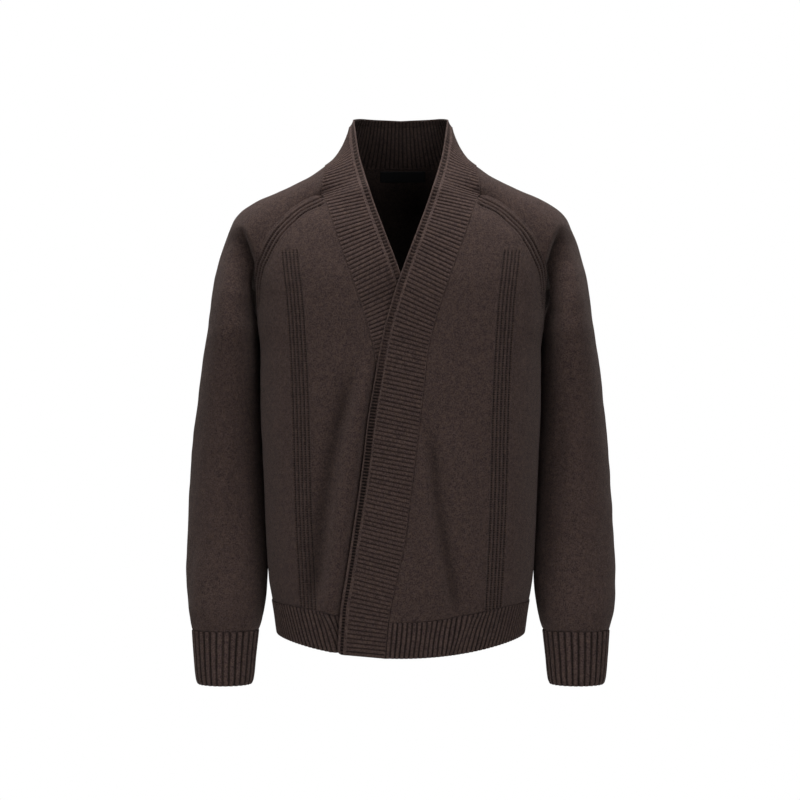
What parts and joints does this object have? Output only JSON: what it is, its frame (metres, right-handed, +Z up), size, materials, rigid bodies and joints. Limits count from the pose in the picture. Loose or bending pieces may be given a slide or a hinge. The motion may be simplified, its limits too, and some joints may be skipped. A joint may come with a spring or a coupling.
{
  "type": "shawl collar cardigan",
  "caption": "Hollow knitted cardigan filled out as worn, with a wrapped shawl collar band, raglan sleeves, ribbed cuffs and hem.",
  "frame": {"origin": "the middle of the neck, between the neck ends of the raglan seams, where the collar lies on the wearer's neck", "axes": "+Z up towards the collar, -Y towards the front, +X towards the wearer's left sleeve"},
  "size_m": [0.6014, 0.273, 0.7965],
  "materials": {
    "plain_knit": "matte, fine plain knit of a mottled dark brown wool yarn",
    "rib_knit": "matte, ribbed knit of the same yarn",
    "tape": "black woven tape with a slight sheen"
  },
  "bodies": {
    "root": {"back": "plain_knit", "front_left": "plain_knit", "front_right": "plain_knit", "hem_rib_back": "rib_knit", "hem_rib_front_left": "rib_knit", "hem_rib_front_right": "rib_knit", "sleeve_left": "plain_knit", "sleeve_right": "plain_knit", "cuff_left": "rib_knit", "cuff_right": "rib_knit", "collar_band_left": "rib_knit", "collar_band_right": "rib_knit", "band_edge_left": "rib_knit", "band_edge_right": "rib_knit", "neck_label": "tape"}
  },
  "joints": []
}
